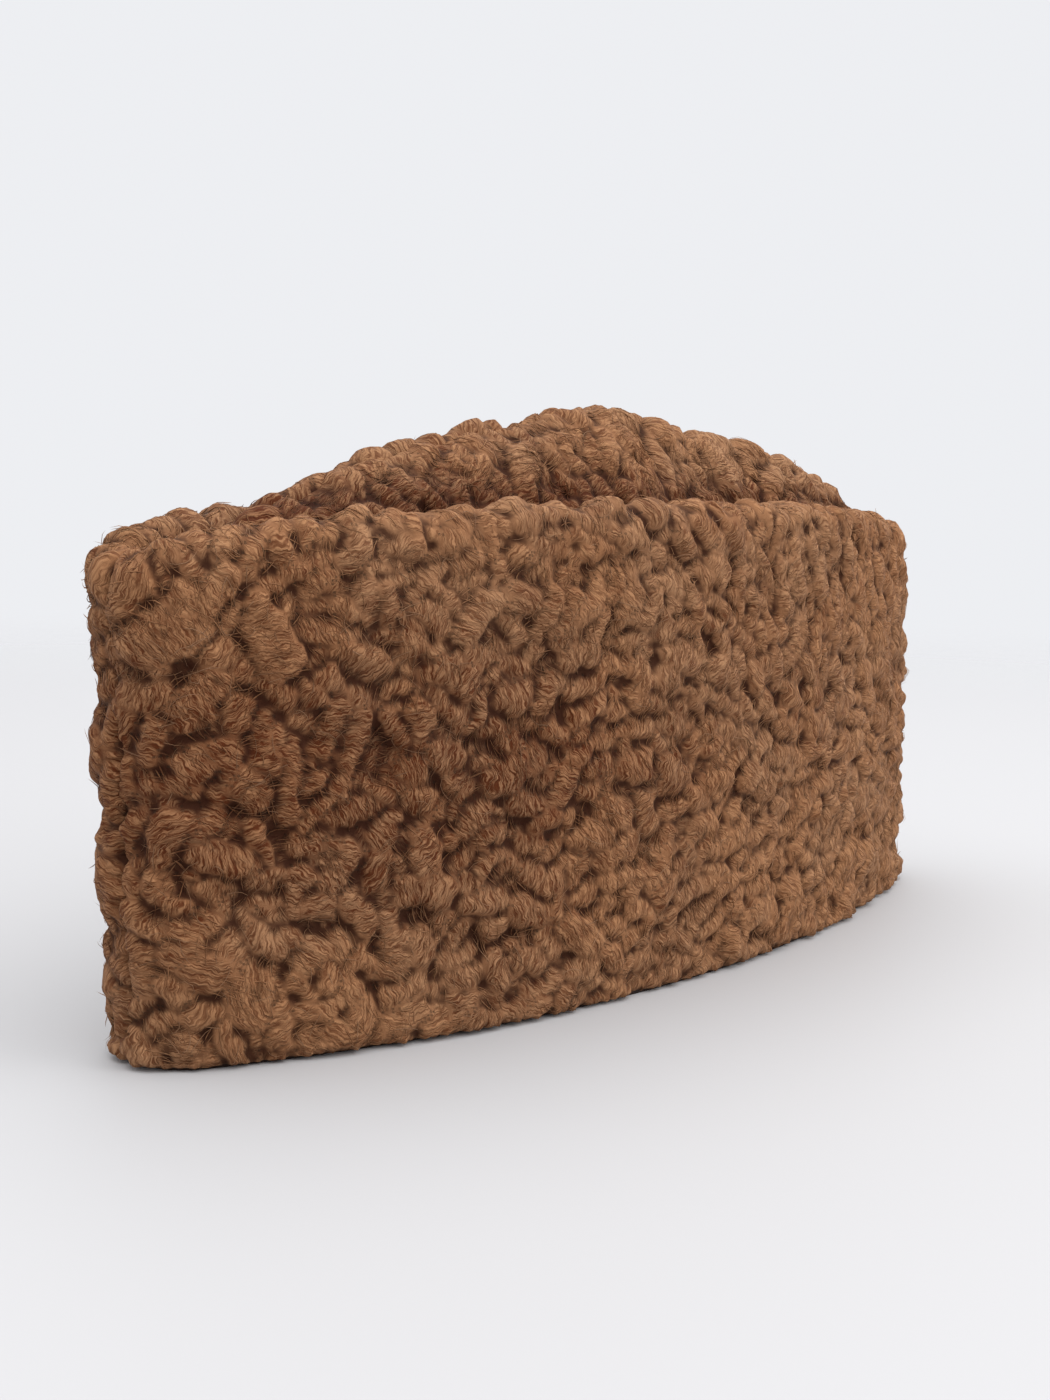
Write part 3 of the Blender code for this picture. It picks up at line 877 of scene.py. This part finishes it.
STRAND_KNOTS = 5
HAIR_HALF_WIDTH = (0.00006, 0.00016)
HAIR_THICKNESS = (0.00005, 0.00013)
LOOSE_FINENESS = 0.35  # by what share loose hairs are finer
STRAND_EVENNESS = 0.75  # how little a hair's colour changes along it
ROOT_DEPTH = 0.00022  # how far a hair's root lies in the fleece
HAIR_REACH = (0.6, 1.25)  # in widths of its roll
LOOSE_REACH = 0.35  # by what share loose hairs are longer
HAIR_RISE = (0.00002, 0.00016)
STRAY_RISE = (0.0003, 0.0016)
TURN_SPREAD = (0.14, 0.45, 0.7)  # of a combed hair, and what fluff and looseness add
CURVE_SPREAD = (0.35, 0.9, 0.9)
STRAY_SHARE = (0.05, 0.16, 0.2)
# A hair over a crease takes the painted crease shade, but no darker than LEAST_OPENNESS, and the shade
# lifts towards the tip by TIP_OPENNESS.
LEAST_OPENNESS = 0.40  # a hair over a crease is no darker than this
TIP_OPENNESS = 0.12
FURROW_BARE = 0.014  # how much of the furrow's wall is left without hairs


def hair_material(name, root, tip):
    """Colour from root to tip by the attribute's y, which is lower over creases as painted crease
    shade, with each hair's own tone in its x and the pelt's tint and painted shade in its z.
    """
    material, shader, wire = new_material(name, Roughness=0.65, Specular_IOR_Level=0.3, **SHEEN)
    tone, height, tint_and_painted_shade = attribute(wire, "pile").parts()
    # Hairs over creases are darker by the painted crease shade in y, and the pelt's tint and painted shade
    # shift them further.
    share = (height * 0.45 + tone * 0.45 + tint_and_painted_shade).clamped()
    share.blend((*root, 1), (*tip, 1)).into(shader, "Base Color")
    return material


wall_hair = hair_material("loose_wall_hair", (0.121, 0.049, 0.020), (0.375, 0.200, 0.101))


def pointed_strands(name, rings, tips, attributes, finish):
    """Many thin closed strands: rings of three corners, closed by one face at the root and drawn
    to a point at the tip. The attributes are given for the rings' points and then the tip's."""
    strands, count, corners = rings.shape[:3]
    each = count * corners + 1
    ring, corner = np.meshgrid(np.arange(count - 1), np.arange(corners), indexing="ij")
    first, second = ring * corners + corner, ring * corners + (corner + 1) % corners
    third, fourth = second + corners, first + corners
    loop = np.arange(corners)
    last = (count - 1) * corners
    faces = np.concatenate([
        np.stack([first, second, third], -1).reshape(-1, 3),
        np.stack([first, third, fourth], -1).reshape(-1, 3),
        np.stack([last + loop, last + (loop + 1) % corners, np.full(corners, each - 1)], -1),
        [[2, 1, 0]],
    ])
    faces = faces[None] + (np.arange(strands) * each)[:, None, None]
    points = np.concatenate([rings.reshape(strands, -1, 3), tips[:, None]], axis=1)
    full = {}
    for key, values in attributes.items():
        at_tip = values[:, -1].mean(axis=1)[:, None]
        full[key] = np.concatenate([values[:, :-1].reshape(strands, -1, 3), at_tip], axis=1)
    return new_piece(name, points, [faces.reshape(-1, 3)], full, finish)


def strand_mesh(name, points, away, half_width, tone, out, tint_and_painted_shade, dice, finish):
    """Strands along the given points. The section is a low triangle whose base faces the pelt. It
    carries the fleece's attributes, so that a combed hair is coloured as the fleece is."""
    count, knots = points.shape[:2]
    points = kept_above_floor(points)
    heading = np.gradient(points, axis=1)
    heading /= np.linalg.norm(heading, axis=-1, keepdims=True) + 1e-12
    aside = np.cross(away, heading)
    aside /= np.linalg.norm(aside, axis=-1, keepdims=True) + 1e-12
    above = np.cross(heading, aside)
    swell = 0.7 + 0.3 * np.sin(np.linspace(0.2, 2.6, knots - 1))[:, None]
    wide = dice.uniform(*half_width, count)[:, None, None] * swell
    high = dice.uniform(*HAIR_THICKNESS, count)[:, None, None] * swell
    rings = kept_above_floor(
        points[:, :-1, None]
        + (wide * np.array([1.0, 0.0, -1.0]))[..., None] * aside[:, :-1, None]
        + (high * np.array([-0.25, 1.0, -0.25]))[..., None] * above[:, :-1, None]
    )
    shape = (count, knots, 3)
    # The pile carries the hair's tone, openness for the painted crease shade, and the pelt's tint and
    # painted shade.
    pile = np.stack([
        np.broadcast_to(tone[:, None, None], shape),
        np.broadcast_to(out[..., None], shape),
        np.broadcast_to(tint_and_painted_shade(points)[..., None], shape),
    ], -1)
    steps = np.linalg.norm(np.diff(points, axis=1), axis=-1)
    way = np.concatenate([np.zeros((count, 1)), np.cumsum(steps, axis=1)], axis=1)
    edge = np.concatenate([wide * 1000 * np.array([1.0, 0.0, -1.0]), np.zeros((count, 1, 3))], axis=1)
    hair_lie = np.stack([
        edge + dice.uniform(0, 40, count)[:, None, None],
        np.broadcast_to((way * 1000)[..., None], shape),
        np.broadcast_to(dice.uniform(0, 40, count)[:, None, None], shape),
    ], -1)
    parting = np.full(pile.shape, STRAND_EVENNESS)
    attributes = {"pile": pile, "hair_lie": hair_lie, "parting": parting}
    return pointed_strands(name, rings, points[:, -1], attributes, finish)


def grow_hairs(name, pelt, extent, allowed, fluff, count, loose, dice, finish):
    """Each hair lies along its roll's own lie, turned by a normal draw whose spread grows with
    loose and fluff. It comes out of the fleece at its root, and its tip lifts by the square of the
    way. It follows the relief, bridging the creases."""
    curls, fleece = pelt["curls"], pelt["fleece"]
    tries = count * 3
    along, up = dice.uniform(0, extent[0], tries), dice.uniform(0, extent[1], tries)
    taken = dice.random(tries) < 0.5 + 0.5 * fluff(along, up)
    chosen = np.flatnonzero(allowed(along, up) & taken)[:count]
    along, up = along[chosen], up[chosen]
    count = len(along)
    wild = fluff(along, up)
    turn_spread, curve_spread, stray_share = (
        own + by_fluff * wild + by_looseness * loose
        for own, by_fluff, by_looseness in (TURN_SPREAD, CURVE_SPREAD, STRAY_SHARE)
    )
    owner = fleece["owner"][cell_of(fleece, along, up)]
    curl = owner // LINE_POINTS
    other_way = np.where(np.sin(curls["phase"][curl] * 7) > 0.35, math.pi, 0.0)
    first = fleece["heading"][owner] + curls["lie"][curl] + other_way
    first = first + dice.normal(0, 1, count) * turn_spread
    step = np.linspace(0, 1, STRAND_KNOTS)[None]
    turning = dice.normal(0, 1, count) * curve_spread
    heading = first[:, None] + turning[:, None] * (step - 0.4)
    reach = curls["width"][curl] * dice.uniform(*HAIR_REACH, count) * (1 + LOOSE_REACH * loose)
    stride = reach[:, None] / (STRAND_KNOTS - 1)
    middle = (STRAND_KNOTS - 1) / 2
    path_along = along[:, None] + (np.cumsum(np.cos(heading), axis=1) - middle) * stride
    path_up = up[:, None] + (np.cumsum(np.sin(heading), axis=1) - middle) * stride
    is_stray = dice.random(count) < stray_share
    stray = is_stray * dice.uniform(*STRAY_RISE, count)
    rise = dice.uniform(*HAIR_RISE, count)[:, None] - ROOT_DEPTH * (1 - step) ** 3
    height = thinned_height(pelt, "over", path_along, path_up)
    height = height + rise + stray[:, None] * step**2
    point, outward, _, _ = pelt["bed"](path_along, path_up, pelt["side"])
    points = point + height[..., None] * outward
    openness = read_off(fleece, "openness", path_along, path_up)
    tone = 0.35 * curls["tone"][curl] + dice.normal(0.32 + 0.10 * loose, 0.12, count)
    # Painted crease shade on the hair, lifting towards its tip.
    out = np.maximum(openness, LEAST_OPENNESS) + TIP_OPENNESS * step
    half_width = [size * (1 - LOOSE_FINENESS * loose) for size in HAIR_HALF_WIDTH]
    return strand_mesh(name, points, outward, half_width, tone, out, pelt["tint_and_painted_shade"], dice, finish)


def wall_fluff(along, up):
    """The fleece is loosest at the back seam's top, and wavy in a patch below the rim."""
    x = wall_x(along)
    corner = np.clip((-0.085 - x) / 0.04, 0, 1) * np.clip((up - 0.060) / 0.03, 0, 1)
    patch = np.exp(-(((x + 0.035) / 0.03) ** 2) - ((up - 0.092) / 0.018) ** 2)
    return np.clip(corner + patch, 0, 1)


def on_half_wall(along, up, is_front):
    """Where hairs root on the front or the back half of a wall."""
    here = (along < wall_length / 2) == is_front
    return on_wall(along, up) & here & (up < wall_top(along) - FURROW_BARE)


WALL_HAIRS = (4800, 1000)  # combed and loose, in each half of each wall
for name, seed in (("left", 41), ("right", 42)):
    dice = np.random.default_rng(seed)
    for half in ("front", "back"):
        in_half = partial(on_half_wall, is_front=half == "front")
        for loose, kind in enumerate(("combed", "loose")):
            piece = grow_hairs(
                f"{kind}_hairs_wall_{name}_{half}", walls[name], wall_extent, in_half, wall_fluff,
                WALL_HAIRS[loose], loose, dice, (wall_fleece, wall_hair)[loose],
            )
            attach(piece, "root")

# Crown. Two pelts sewn together along the ridge, which arches from seam to seam, and to the
# inside of the walls at the furrows. The ridge's curls close over the seam.

RIDGE_HALF_LENGTH = 0.122
RIDGE_FULLNESS = 0.6
RIDGE_END_HEIGHT = 0.0965
RIDGE_FRONT_RISE = 0.0042
RIDGE_ROUNDING = 0.009
# Rise, middle and reach of two humps and a hollow.
RIDGE_HUMPS = ((0.0018, -0.004, 0.014), (0.0024, 0.105, 0.010), (-0.0030, 0.047, 0.024))
CROWN_SLOPE = 1.75
CROWN_DEPTH = 0.013
CROWN_END_HALF_WIDTH = 0.0022
CROWN_BED_DROP = 0.0026  # the bed lies this far under the pelt's own outline
CROWN_END_SHORT = 0.002  # the fleece stops this far short of the crown's ends
FURROW_GAP = 0.0012  # and this far from the wall
RIDGE_BARE = 0.0042  # no hairs root this near to the ridge
CROWN_HEADING = 1.35
CROWN_HEADING_SPREAD = 0.55
CROWN_CURL_WIDTH = 0.0046
CROWN_FLUFF = 0.06

_, crown_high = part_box("crown_left")
ridge_top = crown_high.z - 0.0004
inner_radius = SEAM_RADIUS - PELT
crown_end = half_length - SEAM_RADIUS + math.sqrt(
    inner_radius**2 - (CROWN_END_HALF_WIDTH + SEAT_GAP) ** 2
)


def ridge_height(x):
    """An arch on its end height, as a power of what is left of an ellipse's square, tilted up to
    the front by a sine that dies away at the ends, with two soft humps and a hollow."""
    share = np.clip(1 - (x / RIDGE_HALF_LENGTH) ** 2, 0, 1) ** RIDGE_FULLNESS
    tilt = RIDGE_FRONT_RISE * np.sin(math.pi * x / (2 * RIDGE_HALF_LENGTH)) * np.sqrt(share)
    height = RIDGE_END_HEIGHT + (ridge_top - RIDGE_END_HEIGHT) * share + tilt
    for rise, middle, reach in RIDGE_HUMPS:
        height = height + rise * np.exp(-(((x - middle) / reach) ** 2))
    return height


def crown_half_width(x):
    """Half the room between the walls: the long arcs' inner faces, and small arcs at the seams."""
    join = half_length - SEAM_RADIUS + inner_radius * math.cos(join_angle)
    between = np.sqrt(np.maximum((side_radius - PELT) ** 2 - x**2, 0)) - arc_drop
    across = np.abs(x) - (half_length - SEAM_RADIUS)
    at_seam = np.sqrt(np.maximum(inner_radius**2 - across**2, 0))
    return np.where(np.abs(x) <= join, between, at_seam)


def slope_fall(y):
    """A hyperbola, round at the ridge and steep below."""
    return np.hypot(CROWN_SLOPE * y, RIDGE_ROUNDING) - RIDGE_ROUNDING


slope_y = np.linspace(0, 0.045, 400)
slope_steps = np.hypot(np.diff(slope_y), np.diff(slope_fall(slope_y)))
slope_length = np.concatenate([[0], np.cumsum(slope_steps)])


def crown_bed(along, down, side):
    """The matted bed of one crown pelt, as wall_bed gives it. along is counted from the crown's
    back end, and down is the length of the slope from the ridge. Above the ridge, where down is
    under 0, it is the other pelt's slope."""
    x = along - crown_end
    y = np.interp(np.abs(down), slope_length, slope_y)
    fall = np.interp(np.abs(down), slope_length, slope_fall(slope_y))
    height = ridge_height(x) - fall - CROWN_BED_DROP
    steepness = CROWN_SLOPE**2 * y / np.hypot(CROWN_SLOPE * y, RIDGE_ROUNDING) * np.sign(down)
    nearby = 0.0005
    tilt = (ridge_height(x + nearby) - ridge_height(x - nearby)) / (2 * nearby)
    level = np.zeros_like(height)
    ahead = np.stack([1 + level, level, tilt], -1)
    ahead /= np.linalg.norm(ahead, axis=-1, keepdims=True)
    downward = np.stack([level, side + level, -steepness], -1)
    downward /= np.linalg.norm(downward, axis=-1, keepdims=True)
    outward = np.cross(ahead, downward) * side
    outward /= np.linalg.norm(outward, axis=-1, keepdims=True)
    point = np.stack([leant_back(x, height), side * np.sign(down) * y, height], -1)
    return point, outward, ahead, downward


def crown_hide(name, side):
    """A closed tube along the cap whose ring is the pelt's section: down the fleece face from the
    ridge to the wall, and back up the suede face."""
    columns, rows = 120, 14
    x = -crown_end * np.cos(np.linspace(0.02, math.pi - 0.02, columns))
    edge = np.maximum(crown_half_width(x) - SEAT_GAP, CROWN_END_HALF_WIDTH)
    y = SEAM_GAP / 2 + (edge[:, None] - SEAM_GAP / 2) * np.linspace(0, 1, rows)[None]
    top = ridge_height(x)[:, None] - slope_fall(y)
    wide = np.repeat(x[:, None], rows, 1)
    fleece_face = np.stack([leant_back(wide, top), side * y, top - CROWN_BED_DROP], -1)
    low = top - CROWN_DEPTH
    suede_face = np.stack([leant_back(wide, low), side * y, low], -1)[:, ::-1]
    finish_hide(name, np.concatenate([fleece_face, suede_face], axis=1), rows, side)


def on_crown(along, down):
    """From the ridge down to the furrow, and short of the ends that are tucked between the walls."""
    x = along - crown_end
    y = np.interp(down, slope_length, slope_y)
    return (np.abs(x) < crown_end - 0.003) & (y < crown_half_width(x) - FURROW_GAP)


def crown_heading(along, down):
    """Curls of the crown run mostly down its slope."""
    return CROWN_HEADING + 0 * along, CROWN_HEADING_SPREAD + 0 * along


def crown_curl_width(along, down):
    return CROWN_CURL_WIDTH + 0 * along


# The first colour is the creases': the roots' dark colour with painted shade.
crown_fleece = fleece_material(
    "curled_crown_fleece", (0.022, 0.0038, 0.0007), (0.079, 0.0180, 0.0035), (0.348, 0.176, 0.0850)
)
crown_hair = hair_material("loose_crown_hair", (0.112, 0.044, 0.018), (0.360, 0.194, 0.098))


def tint_and_painted_shade_of_crown(points):
    """Painted shade: the crown's fleece is darker towards the furrow behind the walls' rims, where
    the rims shade it. It is also a little paler towards the front.
    """
    above = points[..., 2] - rim_height(points[..., 0])
    return 0.10 * points[..., 0] / half_length - 0.44 * (1 - np.clip(above / 0.009, 0, 1)) ** 1.3


def off_the_ridge(along, down):
    return on_crown(along, down) & (down > RIDGE_BARE)


def crown_fluff(along, down):
    return CROWN_FLUFF + 0 * along


def crown_foot(along):
    """How long the slope is from the ridge to the furrow."""
    half = np.maximum(crown_half_width(along - crown_end) - FURROW_GAP, CROWN_END_HALF_WIDTH)
    return np.interp(half, slope_y, slope_length)


def crown_thinning(along, down, side):
    """The fleece closes at the ends and over the ridge, and thins out to the furrow."""
    to_foot = crown_foot(along) - down
    ends = rounded_off(np.minimum(along, 2 * crown_end - along) - CROWN_END_SHORT, 0.004)
    over_ridge = np.clip((down + FLEECE_MARGIN) / FLEECE_MARGIN, 0, 1)
    return ends * over_ridge * rounded_off(to_foot, 0.007)


CROWN_COLUMNS = 420
CROWN_ROWS = 62
CROWN_HAIRS = (2600, 140)  # combed and loose, in each pelt
crown_extent = (2 * crown_end, 0.062)
for name, side, seed in (("left", 1, 51), ("right", -1, 52)):
    crown_hide(f"hide_crown_{name}", side)
    dice = np.random.default_rng(seed)
    curls = packed_curls(dice, crown_extent, on_crown, crown_heading, crown_curl_width)
    pelt = {
        "side": side, "bed": crown_bed, "curls": curls, "fleece": fleece_relief(curls, crown_extent, dice),
        "thinning": crown_thinning, "tint_and_painted_shade": tint_and_painted_shade_of_crown,
    }
    along = np.linspace(CROWN_END_SHORT, 2 * crown_end - CROWN_END_SHORT, CROWN_COLUMNS)[:, None]
    slope = crown_foot(along) + FLEECE_MARGIN
    down = -FLEECE_MARGIN + slope * np.linspace(0, 1, CROWN_ROWS)[None]
    along = np.repeat(along, CROWN_ROWS, 1)
    piece = grow_fleece(f"curls_crown_{name}", pelt, along, down, crown_fleece)
    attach(piece, "root")
    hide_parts(f"crown_{name}")
    for loose, kind in enumerate(("combed", "loose")):
        piece = grow_hairs(
            f"{kind}_hairs_crown_{name}", pelt, crown_extent, off_the_ridge, crown_fluff,
            CROWN_HAIRS[loose], loose, dice, (crown_fleece, crown_hair)[loose],
        )
        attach(piece, "root")
